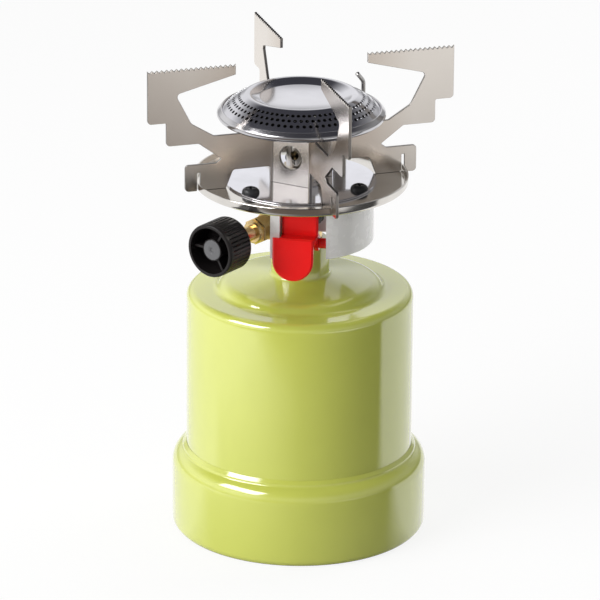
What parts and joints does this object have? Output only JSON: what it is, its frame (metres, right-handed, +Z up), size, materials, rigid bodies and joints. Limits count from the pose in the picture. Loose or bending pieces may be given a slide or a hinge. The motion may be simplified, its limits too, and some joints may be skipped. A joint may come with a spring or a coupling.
{
  "type": "portable gas stove",
  "caption": "Single-burner camping gas stove on an upright round cartridge housing, with a perforated burner, toothed sheet pot supports, a side valve knob and a push-lever igniter.",
  "frame": {"origin": "centre of the foot, on the table", "axes": "+Z up along the stove's axis; the four pot-support arms point along +X, +Y, -X and -Y; the igniter lever faces between -X and -Y, nearer to -Y"},
  "size_m": [0.13, 0.13, 0.202],
  "materials": {
    "lime_enamel": "gloss lime enamel",
    "cartridge_paint": "satin printed steel, left plain",
    "black_rubber": "matt",
    "steel": "plain drawn steel",
    "nickel_steel": "satin nickel plate",
    "bright_sheet": "smooth pale coating",
    "black_steel": "black oxide",
    "burner_steel": "polished stainless sheet",
    "brass": "machined",
    "black_plastic": "fine matt moulding",
    "grey_plastic": "matt moulding",
    "white_plastic": "semi-gloss moulding",
    "red_plastic": "gloss moulding",
    "white_ceramic": "unglazed"
  },
  "bodies": {
    "base_cup": {"base_cup": "lime_enamel"},
    "cartridge": {"gas_cartridge": "cartridge_paint"},
    "stove": {"cartridge_housing": "lime_enamel", "cartridge_seal": "black_rubber", "piercing_needle": "steel", "valve_body": "brass", "lock_nut": "brass", "gland_nut": "brass", "packing_ring": "black_rubber", "gas_jet": "brass", "igniter_housing": "white_plastic", "piezo_body": "black_plastic", "piezo_terminal": "brass", "drip_tray": "nickel_steel", "heat_shield": "bright_sheet", "shield_screws": "black_steel", "front_pot_support": "nickel_steel", "rear_pot_support": "nickel_steel", "mixing_tube": "steel", "burner_bowl": "burner_steel", "burner_cap": "burner_steel", "electrode_insulator": "white_ceramic", "spark_electrode": "steel"},
    "spindle": {"valve_spindle": "brass"},
    "knob": {"control_knob": "black_plastic", "knob_cap": "grey_plastic"},
    "lever": {"igniter_lever": "red_plastic"},
    "plunger": {"piezo_plunger": "grey_plastic"}
  },
  "joints": [
    {"name": "foot_turn", "type": "hinge", "parent": "base_cup", "child": "cartridge", "pos_m": [0, 0, 0], "axis": [0, 0, 1], "range_deg": [0, 720]},
    {"name": "foot_lift", "type": "slide", "parent": "cartridge", "child": "stove", "axis": [0, 0, 1], "range_m": [0, 0.0101]},
    {"name": "knob_lift", "type": "slide", "parent": "stove", "child": "spindle", "axis": [-0.809, -0.5878, 0], "range_m": [0, 0.0016]},
    {"name": "knob_turn", "type": "hinge", "parent": "spindle", "child": "knob", "pos_m": [0, 0, 0.1362], "axis": [-0.809, -0.5878, 0], "range_deg": [0, 540]},
    {"name": "lever_pivot", "type": "hinge", "parent": "stove", "child": "lever", "pos_m": [-0.0108, -0.02031, 0.1315], "axis": [-0.8829, 0.4695, 0], "range_deg": [0, 15], "stiffness_Nm_per_rad": 0.05, "springref_deg": -11.46},
    {"name": "plunger_slide", "type": "slide", "parent": "stove", "child": "plunger", "axis": [0.4695, 0.8829, 0], "range_m": [0, 0.004]}
  ],
  "couplings": [
    {"joint": "foot_lift", "follows": "foot_turn", "m_per_rad": 0.00079577},
    {"joint": "knob_lift", "follows": "knob_turn", "m_per_rad": 0.00015915},
    {"joint": "plunger_slide", "follows": "lever_pivot", "m_per_rad": 0.0105}
  ]
}
